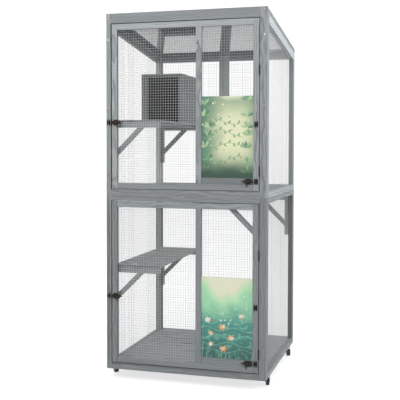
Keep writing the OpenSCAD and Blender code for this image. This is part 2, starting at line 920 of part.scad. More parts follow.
module lower_hatch_rail() {
    color("#979c9e") hatch_rail(lower_insert_z);
}

module lower_hatch_bolt() {
    color("#2a2b2b") bolt_body(insert_rail_x1, lower_insert_z + insert_rail_h / 2, 1);
}

module lower_hatch_rod() {
    color("#3a3836") bolt_rod(insert_rail_x1, lower_insert_z + insert_rail_h / 2, 1);
}

// CASTERS

module caster_stem(c) {
    translate([c[0], c[1], 0]) {
        translate([0, 0, z0 - 1]) cylinder(h = stem_l + 1, d = stem_d);
        translate([0, 0, z0 - 2.5]) cylinder(h = 2.5, d = flange_d);
        translate([0, 0, head_z - head_t - fit - 1]) cylinder(h = z0 - head_z + head_t + fit, d = swivel_d);
        translate([0, 0, head_z - head_t - fit - 1.5]) cylinder(h = 1.5, d = swivel_d + 4);
    }
}

module caster_stems() {
    color("#a9acae") for (c = [caster_fl, caster_fr, caster_rl, caster_rr]) caster_stem(c);
}

// The fork of a caster: a disc that turns under the flange, two arms and the axle
module caster_fork(c) {
    translate([c[0], c[1], 0]) rotate([0, 0, c[2]]) difference() {
        union() {
            translate([0, 0, head_z - head_t]) cylinder(h = head_t, d = flange_d);
            for (x = [-fork_in - arm_t, fork_in]) {
                side_outline(x, x + arm_t, [
                    [trail - 6, wheel_d / 2], [trail + 6, wheel_d / 2], [8, head_z], [-8, head_z]
                ]);
                translate([x, trail, wheel_d / 2]) rotate([0, 90, 0]) cylinder(h = arm_t, d = 12);
            }
            translate([-fork_in - arm_t - 1, trail, wheel_d / 2]) rotate([0, 90, 0]) {
                cylinder(h = 2 * (fork_in + arm_t + 1), d = axle_d);
            }
        }
        translate([0, 0, head_z - head_t - 1]) cylinder(h = head_t + 2, d = swivel_d + 2 * run);
    }
}

module caster_wheel(c) {
    translate([c[0], c[1], 0]) rotate([0, 0, c[2]]) translate([-wheel_w / 2, trail, wheel_d / 2]) {
        rotate([0, 90, 0]) difference() {
            cylinder(h = wheel_w, d = wheel_d);
            translate([0, 0, -1]) cylinder(h = wheel_w + 2, d = axle_d + 2 * run);
        }
    }
}

module caster_fork_fl() {
    color("#a9acae") caster_fork(caster_fl);
}

module caster_fork_fr() {
    color("#a9acae") caster_fork(caster_fr);
}

module caster_fork_rl() {
    color("#a9acae") caster_fork(caster_rl);
}

module caster_fork_rr() {
    color("#a9acae") caster_fork(caster_rr);
}

module caster_wheel_fl() {
    color("#2b2c2d") caster_wheel(caster_fl);
}

module caster_wheel_fr() {
    color("#2b2c2d") caster_wheel(caster_fr);
}

module caster_wheel_rl() {
    color("#2b2c2d") caster_wheel(caster_rl);
}

module caster_wheel_rr() {
    color("#2b2c2d") caster_wheel(caster_rr);
}

lower_front_frame();
lower_left_panel();
lower_right_panel();
lower_rear_panel();
upper_front_frame();
upper_left_panel();
upper_right_panel();
upper_rear_panels();
roof_battens();
roof_sheet();
floor_boards();
floor_bearers();
lower_left_mesh();
lower_right_mesh();
lower_rear_mesh();
upper_left_mesh();
upper_right_mesh();
upper_rear_meshes();
lower_shelf_frame();
lower_shelf_slats();
upper_shelf_frame();
upper_shelf_slats();
left_shelf_brackets();
platform_frame();
platform_slats();
platform_brackets();
sleeping_box();
frame_screws();
door_keepers();
frame_hinges();
caster_stems();
upper_door_frame();
upper_door_mesh();
upper_door_hinges();
upper_door_bolt();
upper_door_rod();
upper_hatch_keepers();
lower_door_frame();
lower_door_mesh();
lower_door_hinges();
lower_door_bolt();
lower_door_rod();
lower_hatch_keepers();
upper_hatch_board();
upper_hatch_rail();
upper_hatch_bolt();
upper_hatch_rod();
lower_hatch_board();
lower_hatch_rail();
lower_hatch_bolt();
lower_hatch_rod();
caster_fork_fl();
caster_fork_fr();
caster_fork_rl();
caster_fork_rr();
caster_wheel_fl();
caster_wheel_fr();
caster_wheel_rl();
caster_wheel_rr();
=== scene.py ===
import math
import random

import bpy
import numpy as np
from mathutils import Matrix, Vector, noise


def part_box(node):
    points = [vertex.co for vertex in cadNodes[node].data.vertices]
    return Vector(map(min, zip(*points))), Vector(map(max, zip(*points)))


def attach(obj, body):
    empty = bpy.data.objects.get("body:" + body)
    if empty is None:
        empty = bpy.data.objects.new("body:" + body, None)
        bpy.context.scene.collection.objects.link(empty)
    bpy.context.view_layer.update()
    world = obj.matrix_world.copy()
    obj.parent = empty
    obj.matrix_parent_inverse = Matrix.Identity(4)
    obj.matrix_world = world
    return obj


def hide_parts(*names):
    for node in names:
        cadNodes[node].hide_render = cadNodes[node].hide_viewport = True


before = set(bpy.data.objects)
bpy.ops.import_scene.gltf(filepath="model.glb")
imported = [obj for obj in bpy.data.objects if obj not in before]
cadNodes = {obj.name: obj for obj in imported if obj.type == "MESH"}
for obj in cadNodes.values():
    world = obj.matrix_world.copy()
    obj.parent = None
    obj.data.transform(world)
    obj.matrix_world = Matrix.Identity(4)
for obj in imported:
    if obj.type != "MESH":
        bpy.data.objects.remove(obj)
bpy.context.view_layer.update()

print("frame loaded:", len(cadNodes), "nodes")


# small helpers for objects and meshes

def deselectAll():
    if bpy.context.object and bpy.context.object.mode != "OBJECT":
        bpy.ops.object.mode_set(mode="OBJECT")
    bpy.ops.object.select_all(action="DESELECT")


def makeActive(thing):
    deselectAll()
    thing.select_set(True)
    bpy.context.view_layer.objects.active = thing


def joinAll(things, name):
    makeActive(things[0])
    for thing in things[1:]:
        thing.select_set(True)
    if len(things) > 1:
        bpy.ops.object.join()
    joined = bpy.context.object
    joined.name = name
    return joined


def applyPlace(thing):
    makeActive(thing)
    bpy.ops.object.transform_apply(location=True, rotation=True, scale=True)


def addModifier(thing, kind, **settings):
    makeActive(thing)
    modifier = thing.modifiers.new(kind.lower(), kind)
    for key, value in settings.items():
        setattr(modifier, key, value)
    bpy.ops.object.modifier_apply(modifier=modifier.name)


def softenEdges(thing, width, segments=2, angle=35):
    # the rounded edges are smooth and the large faces stay flat
    makeActive(thing)
    bpy.ops.object.shade_smooth()
    addModifier(thing, "BEVEL", width=width, segments=segments, limit_method="ANGLE",
                angle_limit=math.radians(angle), use_clamp_overlap=True, harden_normals=True)


def startPick(thing, kind):
    # no face or edge selected, and out of edit mode, where single ones can be selected
    makeActive(thing)
    bpy.ops.object.mode_set(mode="EDIT")
    bpy.ops.mesh.select_mode(type=kind)
    bpy.ops.mesh.select_all(action="DESELECT")
    bpy.ops.object.mode_set(mode="OBJECT")


def pickFaces(thing, test):
    # edit mode with only those faces selected that pass the test on middle and normal
    startPick(thing, "FACE")
    for face in thing.data.polygons:
        face.select = bool(test(face.center, face.normal))
    bpy.ops.object.mode_set(mode="EDIT")


def pickEdges(thing, test):
    # edit mode with only those edges selected whose two ends pass the test
    startPick(thing, "EDGE")
    points = thing.data.vertices
    for edge in thing.data.edges:
        edge.select = bool(test(points[edge.vertices[0]].co, points[edge.vertices[1]].co))
    bpy.ops.object.mode_set(mode="EDIT")


def newObject(name, mesh):
    thing = bpy.data.objects.new(name, mesh)
    bpy.context.scene.collection.objects.link(thing)
    return thing


def copyNode(node, name):
    # the node's own shape as one clean mesh, ready to be bevelled
    piece = newObject(name, cadNodes[node].data.copy())
    piece.data.materials.clear()
    makeActive(piece)
    bpy.ops.mesh.customdata_custom_splitnormals_clear()
    bpy.ops.object.mode_set(mode="EDIT")
    bpy.ops.mesh.select_all(action="SELECT")
    bpy.ops.mesh.remove_doubles(threshold=0.00002)
    bpy.ops.mesh.dissolve_limited(angle_limit=math.radians(0.4))
    bpy.ops.object.mode_set(mode="OBJECT")
    return piece


def meshPoints(mesh):
    points = np.empty(len(mesh.vertices) * 3)
    mesh.vertices.foreach_get("co", points)
    return points.reshape(-1, 3)


def placePiece(piece, body, slot, *replaced):
    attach(piece, body)
    if replaced:
        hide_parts(*replaced)


# camera, fitted to the corners of the cage, for an image of 400 x 400

cameraLook = {
    "place": (1.1070, -3.9678, 1.1461),
    "down": 2.0,
    "roll": -0.089,
    "turn": 16.05,
    "lens": 70.6,
    "sensor": 36,
    "shift": -0.064,
    "farthest": 60,
}
bpy.ops.object.camera_add(location=cameraLook["place"])
camera = bpy.context.object
angles = (90 - cameraLook["down"], cameraLook["roll"], cameraLook["turn"])
camera.rotation_euler = [math.radians(a) for a in angles]
camera.data.lens = cameraLook["lens"]
camera.data.sensor_width = cameraLook["sensor"]
camera.data.shift_y = cameraLook["shift"]
camera.data.clip_end = cameraLook["farthest"]
bpy.context.scene.camera = camera
bpy.context.scene.view_settings.view_transform = "Standard"
print("camera placed")


# colours and node trees

def linear(hexColour):
    parts = [int(hexColour[i:i + 2], 16) / 255 for i in (1, 3, 5)]
    return [c / 12.92 if c <= 0.04045 else ((c + 0.055) / 1.055) ** 2.4 for c in parts] + [1.0]


def addNode(tree, kind, settings=None, links=None):
    # lower-case keys are the node's own settings, the rest are its sockets
    node = tree.nodes.new("ShaderNode" + kind)
    for key, value in (settings or {}).items():
        if isinstance(key, str) and key[0].islower():
            setattr(node, key, value)
        else:
            node.inputs[key].default_value = value
    for key, source in (links or {}).items():
        tree.links.new(source, node.inputs[key])
    return node


def calculate(tree, operation, a, b, kind="Math"):
    return addNode(tree, kind, {"operation": operation}, {0: a, 1: b}).outputs[0]


def spread(tree, value, low, high, outLow=0, outHigh=1):
    # low to high becomes outLow to outHigh, and beyond them it stays level
    settings = {"From Min": low, "From Max": high, "To Min": outLow, "To Max": outHigh}
    return addNode(tree, "MapRange", settings, {"Value": value}).outputs[0]


def between(tree, share, hexA, hexB):
    settings = {"data_type": "RGBA", 6: linear(hexA), 7: linear(hexB)}
    return addNode(tree, "Mix", settings, {0: share}).outputs[2]


def layOver(tree, share, below, hexColour):
    settings = {"data_type": "RGBA", 7: linear(hexColour)}
    return addNode(tree, "Mix", settings, {0: share, 6: below}).outputs[2]


def barNoise(tree, place, along, across, detail=2, roughness=0.5, shift=(0, 0, 0)):
    # noise drawn out along a bar, with so many spots per metre along and across it
    scale = (along, across, across)
    stretched = addNode(tree, "Mapping", {"Location": shift, "Scale": scale}, {"Vector": place})
    settings = {"Scale": 1, "Detail": detail, "Roughness": roughness}
    return addNode(tree, "TexNoise", settings, {"Vector": stretched.outputs[0]})


def raiseBump(tree, height, strength, depth):
    settings = {"Strength": strength, "Distance": depth}
    return addNode(tree, "Bump", settings, {"Height": height}).outputs[0]


def startMaterial(name):
    material = bpy.data.materials.new(name)
    material.use_nodes = True
    material.node_tree.nodes.clear()
    return material, material.node_tree


def endMaterial(tree, shader):
    addNode(tree, "OutputMaterial", None, {"Surface": shader.outputs[0]})


def endSurface(tree, settings, colour, rough, bump):
    links = {"Base Color": colour, "Roughness": rough, "Normal": bump}
    endMaterial(tree, addNode(tree, "BsdfPrincipled", settings, links))


# Spruce, planed, edges rounded, one coat of thin grey stain: the eye sees light early wood
# between darker late-wood lines, long streaks, a few knots and paler edges, partly worn stain and
# partly a painted highlight
spruceLook = {
    "earlyWood": "#a4a9ab",
    "lateWood": "#6d7378",
    "warmPatch": "#a0978b",
    "knot": "#4b4540",
    "edgeWearAndSheen": "#bcbab4",
    "ringSpacing": 0.0085,   # wide-grown spruce, 3 to 9 mm
    "ringWander": 0.028,
    "lateShare": 0.9,
    "streakWidth": 0.016,
    "streakTone": (0.83, 1.13),
    "fibreWidth": 0.0022,
    "fibreTone": (0.92, 1.07),
    "knotSpots": (4.6, 26, 26),   # per metre along the bar and across
    "knotShare": 0.8,
    "edgeWearAndSheenWidth": 0.0016,
    "edgeWearAndSheenCore": 0.0003,
    "edgeWearAndSheenShare": 0.25,
    "roughness": (0.54, 0.72),
    "specular": 0.35,
    "bump": 0.35,
    "bumpDepth": 0.0004,
}


def makeSpruce(name, depth):
    # depth below 1 darkens all of the wood: painted shade, for the faces inside the box
    look = spruceLook
    material, tree = startMaterial(name)
    place, half, pith, kind = [addNode(tree, "Attribute", {"attribute_name": mark}).outputs["Vector"]
                               for mark in ("barPlace", "barHalf", "barPith", "barKind")]
    knotty = addNode(tree, "Attribute", {"attribute_name": "barKnots"}).outputs["Fac"]
    toneAndLight, figure, warmth = addNode(tree, "SeparateXYZ", None, {0: kind}).outputs
    inTree = calculate(tree, "ADD", place, pith, "VectorMath")
    # the rings wander along the bar
    slow = barNoise(tree, inTree, 7, 14).outputs["Color"]
    centred = addNode(tree, "VectorMath", {"operation": "SUBTRACT", 1: (0.5, 0.5, 0.5)}, {0: slow})
    wander = (0, look["ringWander"], look["ringWander"])
    scaled = addNode(tree, "VectorMath", {"operation": "MULTIPLY", 1: wander}, {0: centred.outputs[0]})
    wood = calculate(tree, "ADD", inTree, scaled.outputs[0], "VectorMath")
    settings = {"wave_type": "RINGS", "rings_direction": "X", "wave_profile": "SAW", "Distortion": 0,
                "Scale": 0.314 / look["ringSpacing"]}   # at a scale of 1 there is a ring every 314 mm
    rings = addNode(tree, "TexWave", settings, {"Vector": wood})
    late = spread(tree, rings.outputs["Fac"], 0.35, 1, 0, look["lateShare"])
    late = calculate(tree, "MULTIPLY", late, figure)
    streaks = barNoise(tree, wood, 1.5, 1 / look["streakWidth"], 3, 0.6).outputs["Fac"]
    fibres = barNoise(tree, wood, 9, 1 / look["fibreWidth"]).outputs["Fac"]
    colour = between(tree, late, look["earlyWood"], look["lateWood"])
    # warm patches where the stain is thin
    patch = spread(tree, barNoise(tree, inTree, 2.2, 24, shift=(3, 1, 2)).outputs["Fac"], 0.5, 0.72)
    colour = layOver(tree, calculate(tree, "MULTIPLY", patch, warmth), colour, look["warmPatch"])
    # knots, in a few cells of a pattern that is drawn out along the board
    knotMap = addNode(tree, "Mapping", {"Scale": look["knotSpots"]}, {"Vector": wood})
    knots = addNode(tree, "TexVoronoi", {"Scale": 1, "Randomness": 0.9}, {"Vector": knotMap.outputs[0]})
    chosen = addNode(tree, "SeparateXYZ", None, {0: knots.outputs["Color"]}).outputs[0]
    chosen = calculate(tree, "MULTIPLY", spread(tree, chosen, 0.80, 0.82, 0, look["knotShare"]), knotty)
    knot = calculate(tree, "MULTIPLY", spread(tree, knots.outputs["Distance"], 0.28, 0.14), chosen)
    colour = layOver(tree, knot, colour, look["knot"])
    # distance to the nearest edge of the bar is the middle one of the three distances to its faces
    outward = addNode(tree, "VectorMath", {"operation": "ABSOLUTE"}, {0: place})
    toFaces = calculate(tree, "SUBTRACT", half, outward.outputs[0], "VectorMath")
    ends, sides, backs = addNode(tree, "SeparateXYZ", None, {0: toFaces}).outputs
    less = calculate(tree, "MINIMUM", ends, sides)
    more = calculate(tree, "MAXIMUM", ends, sides)
    edge = calculate(tree, "MAXIMUM", less, calculate(tree, "MINIMUM", more, backs))
    # paler edges: partly stain worn thin, partly a painted highlight where the rounded edges catch the
    # light
    edgeWearAndSheen = spread(tree, edge, look["edgeWearAndSheenWidth"], look["edgeWearAndSheenCore"], 0, look["edgeWearAndSheenShare"])
    colour = layOver(tree, calculate(tree, "MULTIPLY", edgeWearAndSheen, streaks), colour, look["edgeWearAndSheen"])
    # long streaks, fine fibres and the bar's tone darken or lighten it; the tone is partly the stain's
    # own and partly painted light and shade
    streakTone = spread(tree, streaks, 0.25, 0.75, *look["streakTone"])
    fibreTone = spread(tree, fibres, 0.25, 0.75, *look["fibreTone"])
    allTone = calculate(tree, "MULTIPLY", calculate(tree, "MULTIPLY", streakTone, fibreTone), toneAndLight)
    allTone = spread(tree, allTone, 0, 2, 0, 2 * depth)
    toned = addNode(tree, "VectorMath", {"operation": "SCALE"}, {0: colour, "Scale": allTone})
    rough = spread(tree, fibres, 0, 1, *look["roughness"])
    bump = raiseBump(tree, calculate(tree, "SUBTRACT", fibres, late), look["bump"], look["bumpDepth"])
    endSurface(tree, {"Specular IOR Level": look["specular"]}, toned.outputs[0], rough, bump)
    return material


# Metals and plastics share one recipe: a base colour that drifts between two near tones,
# an uneven roughness and a fine bump, with the widths of their spots in metres
def makeCoated(name, colourA, colourB, roughness, metal=0, spot=0.006, roughDrift=0.08,
               bumpDepth=0.00003, bumpSpot=0.0006, extra=None):
    material, tree = startMaterial(name)
    place = addNode(tree, "TexCoord").outputs["Object"]
    slow = addNode(tree, "TexNoise", {"Scale": 1 / spot, "Detail": 3}, {"Vector": place})
    drift = spread(tree, slow.outputs["Fac"], 0.35, 0.65)
    colour = between(tree, drift, colourA, colourB)
    rough = spread(tree, drift, 0, 1, roughness - roughDrift, roughness + roughDrift)
    fine = addNode(tree, "TexNoise", {"Scale": 1 / bumpSpot, "Detail": 2}, {"Vector": place})
    bump = raiseBump(tree, fine.outputs["Fac"], 0.4, bumpDepth)
    endSurface(tree, {"Metallic": metal, **(extra or {})}, colour, rough, bump)
    return material


spruce = makeSpruce("spruce, planed and stained grey", 1)
# the same wood made almost black, as painted shade for the faces inside the sleeping box
spruceShadedInside = makeSpruce("spruce, darkened as painted shade inside the box", 0.02)
# steel wire, welded and then hot-dip galvanised: dull grey with lighter and darker spangle; the lighter
# copy on the upper right net and the darker copy on the left nets are painted light and painted shade
galvanised, litWire, shadedWire = [
    makeCoated("galvanised steel wire, " + state, *tones, bumpDepth=0.00004)
    for state, tones in (("welded", ("#cccece", "#dddfdf", 0.42, 0.1)),
                         ("copy lit by painted light", ("#eff0f0", "#fafafa", 0.42, 0.05)),
                         ("copy in painted shade", ("#8f9191", "#a0a2a2", 0.5, 0.1)))]
# steel sheet, pressed and powder coated black: satin, faintly pebbled
blackCoat = makeCoated("steel sheet, black powder coat", "#131212", "#1d1b1a", 0.46, spot=0.008,
                       roughDrift=0.07, bumpDepth=0.00005, bumpSpot=0.0007,
                       extra={"Specular IOR Level": 0.3})
# steel rod, oil-rubbed bronze finish: dark brown with rubbed warm spots
bronzed = makeCoated("steel rod, dark bronze finish", "#1c1715", "#42342a", 0.36, 0.6, spot=0.004,
                     bumpSpot=0.0008)
# brass-plated steel screw, cold headed, all one finish: the lighter and darker copies are painted light
# and shade, pale and bright where more light falls, darker low down and in shade
brass, brassHalfShaded, dullBrass, brownBrass = [
    makeCoated("brass-plated screw, " + state, *tones, spot=0.05, roughDrift=0.07)
    for state, tones in (("cold headed", ("#d8d0ba", "#efe9da", 0.36, 0.3)),
                         ("half in painted shade", ("#b0a58c", "#c8bda2", 0.42, 0.4)),
                         ("deeper in painted shade", ("#7f7860", "#948b6c", 0.45, 0.4)),
                         ("deepest in painted shade", ("#8a7766", "#957c66", 0.5, 0.4)))]
# steel, pressed and zinc plated: cool bright grey, cloudy
zinc = makeCoated("steel, pressed and zinc plated", "#cfd1d2", "#e2e3e4", 0.34, 0.2, spot=0.007)
# nylon, injection moulded: black, half matt
nylon = makeCoated("nylon wheel, moulded", "#1d1d1e", "#2a2827", 0.46, roughDrift=0.06,
                   bumpDepth=0.00004, bumpSpot=0.0005)
# polycarbonate sheet, extruded, smoke grey: even and glossy with faint long waves
roofPlastic = makeCoated("polycarbonate sheet, extruded", "#666c73", "#6e747b", 0.07, spot=0.35,
                         roughDrift=0.02, bumpDepth=0.00006, bumpSpot=0.12,
                         extra={"Coat Weight": 1.0, "Coat Roughness": 0.03})
# hardboard, pressed: the plain back and edges of the printed boards
hardboard = makeCoated("hardboard back, pressed", "#6f7370", "#7d817d", 0.7, spot=0.004,
                       roughDrift=0.05, bumpDepth=0.0001)


def makePrint():
    # PVC sheet, printed and laminated: the ink's colours under a satin film
    material, tree = startMaterial("PVC board, printed and laminated")
    ink = addNode(tree, "Attribute", {"attribute_name": "ink"}).outputs["Color"]
    place = addNode(tree, "TexCoord").outputs["Object"]
    drift = addNode(tree, "TexNoise", {"Scale": 45, "Detail": 2}, {"Vector": place}).outputs["Fac"]
    rough = spread(tree, drift, 0, 1, 0.3, 0.42)
    bump = raiseBump(tree, drift, 0.15, 0.0002)
    endSurface(tree, {"Coat Weight": 0.2, "Coat Roughness": 0.2}, ink, rough, bump)
    return material


printed = makePrint()
print("materials made")


# timber: every bar gets its own length, pith, tone and figure; the tone holds painted light and shade
# as well as the stain's own tone

barLook = {
    "edgeRound": 0.0009,
    "straight": 0.998,            # bars as straight as this lie along one of the three directions
    "upright": 0.9,
    "treeLength": 40,             # metres of wood that the bars are cut from
    "pithAway": (0.035, 0.11),    # from the middle of the bar to the middle of the tree
    "figureDrift": (0.7, 1.3),
    "spotReach": 0.03,            # how far the middle of a bar may be from its spot in the painted light and shade of single bars
    "planeReach": 0.00003,        # the same for a face and its plane in the painted light and shade of faces
    "boxWall": 0.008,             # a little less than the walls of the box
}


def looseParts(mesh):
    # the vertices of each separate bar
    owner = list(range(len(mesh.vertices)))

    def root(i):
        while owner[i] != i:
            owner[i] = owner[owner[i]]
            i = owner[i]
        return i

    for edge in mesh.edges:
        a, b = root(edge.vertices[0]), root(edge.vertices[1])
        if a != b:
            owner[b] = a
    groups = {}
    for i in range(len(owner)):
        groups.setdefault(root(i), []).append(i)
    return list(groups.values())


def markBars(piece, uprightToneAndLight, levelToneAndLight, figure, warmth, knots,
             paintedBarShading, paintedFaceShading, toneDrift, seed):
    # the first list holds painted light and shade for single bars: a point at their middle and how much
    # lighter or darker they are painted the second list holds the same for flat faces: the normal and
    # the distance of their plane, and a factor
    # toneDrift: how far the tones of single bars may differ from the node's tone
    dice = random.Random(seed)
    mesh = piece.data
    points = meshPoints(mesh)
    marks = {key: np.zeros((len(points), 3)) for key in ("barPlace", "barHalf", "barPith", "barKind")}
    for part in sorted(looseParts(mesh), key=lambda p: tuple(np.round(points[p].min(axis=0), 4))):
        own = points[part]
        middle = (own.min(axis=0) + own.max(axis=0)) / 2
        along = np.linalg.eigh(np.cov((own - middle).T))[1][:, 2]
        if abs(along).max() > barLook["straight"]:
            along = np.round(along)
        across = np.cross(along, np.eye(3)[int(np.argmin(abs(along)))])
        across /= np.linalg.norm(across)
        axes = np.array([along, across, np.cross(along, across)])
        local = (own - middle) @ axes.T
        toneAndLight = uprightToneAndLight if abs(along[2]) > barLook["upright"] else levelToneAndLight
        for spot, factor in paintedBarShading:
            if np.linalg.norm(middle - spot) < barLook["spotReach"]:
                toneAndLight *= factor
        angle, away = dice.uniform(0, 2 * math.pi), dice.uniform(*barLook["pithAway"])
        marks["barPlace"][part] = local
        marks["barHalf"][part] = abs(local).max(axis=0)
        cut = dice.uniform(0, barLook["treeLength"])
        marks["barPith"][part] = (cut, math.cos(angle) * away, math.sin(angle) * away)
        toneAndLight *= dice.uniform(1 - toneDrift, 1 + toneDrift)
        ownFigure = figure * dice.uniform(*barLook["figureDrift"])
        marks["barKind"][part] = (toneAndLight, ownFigure, warmth * dice.random())
    for normal, distance, factor in paintedFaceShading:
        onPlane = abs(points @ np.array(normal) - distance) < barLook["planeReach"]
        marks["barKind"][onPlane, 0] *= factor
    for key, values in marks.items():
        mesh.attributes.new(key, "FLOAT_VECTOR", "POINT").data.foreach_set("vector", values.ravel())
    mesh.attributes.new("barKnots", "FLOAT", "POINT").data.foreach_set("value", [knots] * len(points))


timberLook = {
    # node: (body, tone of the upright bars, tone of the others,
    #        strength of the grain, warm patches, knots)
    # the tones are partly the stain and partly painted light and shade: the lower storey is darker,
    # where less light reaches it, and some panels lighter, where more light falls on them
    "upper_front_frame": ("cage", 0.96, 0.79, 0.75, 0.2, 0),
    "upper_left_panel": ("cage", 1.6, 0.74, 0.6, 0.4, 0),
    "upper_right_panel": ("cage", 1.0, 1.9, 1.0, 0.2, 0.4),
    "upper_rear_panels": ("cage", 1.4, 1.0, 0.5, 0.2, 0),
    "lower_front_frame": ("cage", 0.74, 0.75, 0.5, 0.1, 0),
    "lower_left_panel": ("cage", 0.8, 0.8, 0.45, 0.2, 0),
    "lower_right_panel": ("cage", 0.68, 0.87, 0.9, 0.2, 0.4),
    "lower_rear_panel": ("cage", 0.8, 0.8, 0.45, 0.2, 0),
    "roof_battens": ("cage", 0.95, 0.95, 0.7, 0.3, 0),
    "floor_boards": ("cage", 1.02, 1.02, 0.9, 0.3, 1),
    "floor_bearers": ("cage", 0.85, 0.85, 0.5, 0.2, 0),
    "lower_shelf_frame": ("cage", 0.85, 0.85, 0.5, 0.2, 0),
    "lower_shelf_slats": ("cage", 1.1, 1.1, 1.6, 0.9, 1),
    "upper_shelf_frame": ("cage", 0.98, 0.98, 0.5, 0.2, 0),
    "upper_shelf_slats": ("cage", 1.05, 1.05, 1.2, 0.3, 0.6),
    "left_shelf_brackets": ("cage", 0.82, 0.82, 0.5, 0.2, 0),
    "platform_frame": ("cage", 0.9, 0.9, 0.8, 0.2, 0),
    "platform_slats": ("cage", 1.0, 1.0, 1.0, 0.2, 0.7),
    "platform_brackets": ("cage", 0.85, 0.85, 0.6, 0.2, 0),
    "sleeping_box": ("cage", 0.54, 0.54, 0.5, 0.2, 0),
    "upper_door_frame": ("upper_door", 1.11, 1.2, 0.75, 0.25, 0),
    "lower_door_frame": ("lower_door", 0.82, 1.02, 0.5, 0.1, 0),
    "upper_hatch_rail": ("upper_hatch", 0.62, 0.62, 0.5, 0.2, 0),
    "lower_hatch_rail": ("lower_hatch", 0.86, 0.86, 0.5, 0.2, 0),
}
# painted light and shade on single bars: darker where a bar lies in deep shade, as the rear brackets
# do, lighter where it catches more light
paintedBarShading = {
    "upper_door_frame": [((-0.01, -0.381, 0.956), 0.72)],
    "lower_door_frame": [((-0.01, -0.381, 0.098), 0.82), ((-0.358, -0.381, 0.481), 0.88)],
    "lower_front_frame": [((-0.3885, -0.381, 0.48), 0.87)],
    "upper_rear_panels": [((-0.386, 0.381, 1.275), 1.45)],
    "lower_left_panel": [((-0.3885, -0.358, 0.48), 1.35), ((-0.3885, 0.01, 0.065), 0.75)],
    "upper_right_panel": [((0.3885, 0.01, 0.924), 0.68)],
    "platform_brackets": [((0.282, -0.354, 0.78), 1.1), ((0.282, 0.36, 0.78), 0.6),
                          ((0.365, 0.36, 0.756), 0.55)],
    "left_shelf_brackets": [((-0.286, 0.36, 0.458), 0.6), ((-0.286, 0.36, 1.172), 0.6),
                            ((-0.365, 0.36, 0.434), 0.6), ((-0.365, 0.36, 1.148), 0.6)],
}
paintedFaceShading = {
    # painted shade on faces that lie in deep shade: in the gaps round the doors, on the inner sides of
    # the doors and the rear posts, on the platform's braces and on the front of the slats; one of them
    # is painted lighter, where a face catches light in a gap
    "upper_front_frame": [((1, 0, 0), -0.377, 0.02), ((0, 0, 1), 0.938, 0.4), ((0, 0, 1), 1.747, 0.2)],
    "lower_front_frame": [((1, 0, 0), -0.377, 1.6), ((0, 0, 1), 0.08, 0.7)],
    "upper_door_frame": [((1, 0, 0), -0.344, 0.6), ((1, 0, 0), 0.3625, 0.3)],
    "lower_door_frame": [((1, 0, 0), -0.344, 0.6), ((1, 0, 0), 0.3625, 0.02), ((0, 0, 1), 0.8795, 0.1)],
    "upper_rear_panels": [((1, 0, 0), -0.372, 0.4)],
    "lower_rear_panel": [((1, 0, 0), -0.372, 0.15)],
    "platform_brackets": [((1, 0, 1), 1.0932, 0.3)],
    "lower_shelf_slats": [((0, 1, 0), -0.364, 0.4)],
    "upper_shelf_slats": [((0, 1, 0), -0.364, 0.6)],
}
usualDrift = 0.05
toneDrifts = {"floor_boards": 0.1, "lower_shelf_slats": 0.16, "upper_shelf_slats": 0.12,
              "platform_slats": 0.1}

for seed, (node, (body, *grain)) in enumerate(timberLook.items()):
    piece = copyNode(node, "timber_" + node)
    softenEdges(piece, barLook["edgeRound"])
    markBars(piece, *grain, paintedBarShading.get(node, []), paintedFaceShading.get(node, []),
             toneDrifts.get(node, usualDrift), 100 + seed)
    piece.data.materials.append(spruce)
    if node == "sleeping_box":
        # faces that look into the box, a wall's thickness behind its outside, take the almost black
        # copy: painted shade inside the box
        piece.data.materials.append(spruceShadedInside)
        lo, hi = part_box(node)
        middle = (Vector(lo) + Vector(hi)) / 2
        inside = (Vector(hi) - Vector(lo)) / 2 - Vector([barLook["boxWall"]] * 3)
        for face in piece.data.polygons:
            away = face.center - middle
            if all(abs(away[i]) < inside[i] for i in range(3)) and away.dot(face.normal) < 0:
                face.material_index = 1
    placePiece(piece, body, "timber_dark" if node == "sleeping_box" else "timber", node)
print("timber made")


# roof sheet

roofLook = {"edgeRound": 0.0008}
roof = copyNode("roof_sheet", "roof_sheet_gloss")
softenEdges(roof, roofLook["edgeRound"])
roof.data.materials.append(roofPlastic)
placePiece(roof, "cage", "roof", "roof_sheet")
print("roof made")


# nets of welded wire: one upright and one level wire are made and repeated

netLook = {
    "wire": 0.00095,
    "doorWire": 0.0012,   # the doors hold a stouter net
    "square": 0.0127,
    "sides": 5,
    "bend": 0.09,         # length of a straight bit of wire
    "ripple": 0.0005,     # how far a net leaves its plane
    "rippleShare": 0.6,
    "sway": 0.00012,      # how far a wire leaves its line
    "coarse": 5,          # ripples and sways per metre
    "fine": 9,
    "apart": (3.1, 1.7),  # metres of the pattern from one net to the next
}


def repeatWire(start, end, step, count, radius):
    run = end - start
    bpy.ops.object.select_all(action="DESELECT")
    bpy.ops.mesh.primitive_cylinder_add(vertices=netLook["sides"], radius=radius, depth=run.length,
                                        location=(start + end) / 2,
                                        rotation=run.to_track_quat("Z", "Y").to_euler())
    wire = bpy.context.object
    applyPlace(wire)
    direction = run.normalized()
    pickEdges(wire, lambda a, b: abs((b - a).normalized().dot(direction)) > 0.99)
    bpy.ops.mesh.subdivide(number_cuts=max(1, round(run.length / netLook["bend"])))
    bpy.ops.object.mode_set(mode="OBJECT")
    addModifier(wire, "ARRAY", count=count, use_relative_offset=False, use_constant_offset=True,
                constant_offset_displace=step)
    return wire


